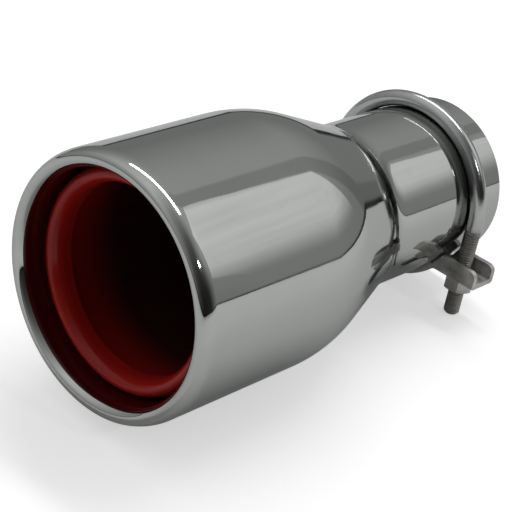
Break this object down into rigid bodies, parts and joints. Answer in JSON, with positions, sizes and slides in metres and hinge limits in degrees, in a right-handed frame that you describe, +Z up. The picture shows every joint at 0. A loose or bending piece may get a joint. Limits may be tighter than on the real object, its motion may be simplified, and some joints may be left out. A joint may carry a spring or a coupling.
{
  "type": "exhaust tip",
  "caption": "Round chromed exhaust tip with a rolled mouth, a red inner sleeve and a necked inlet tube that a U-bolt clamp grips on a tail pipe.",
  "frame": {"origin": "centre of the inlet tube's rear end, on the tip's axis", "axes": "+Y out of the inlet, the way the tail pipe leaves; the mouth faces -Y; +Z up, with the clamp's legs pointing down"},
  "size_m": [0.09, 0.1712, 0.09],
  "materials": {
    "bright_chrome": "polished chrome plating",
    "red_lacquer": "glossy red lacquer",
    "plated_rod": "bright zinc plating",
    "dull_steel": "dull plated pressed steel"
  },
  "bodies": {
    "root": {"outer_shell": "bright_chrome", "inner_sleeve": "red_lacquer", "inlet_tube": "bright_chrome", "neck_weld": "bright_chrome", "u_bolt": "plated_rod", "clamp_saddle": "dull_steel", "clamp_nuts": "dull_steel"}
  },
  "joints": []
}
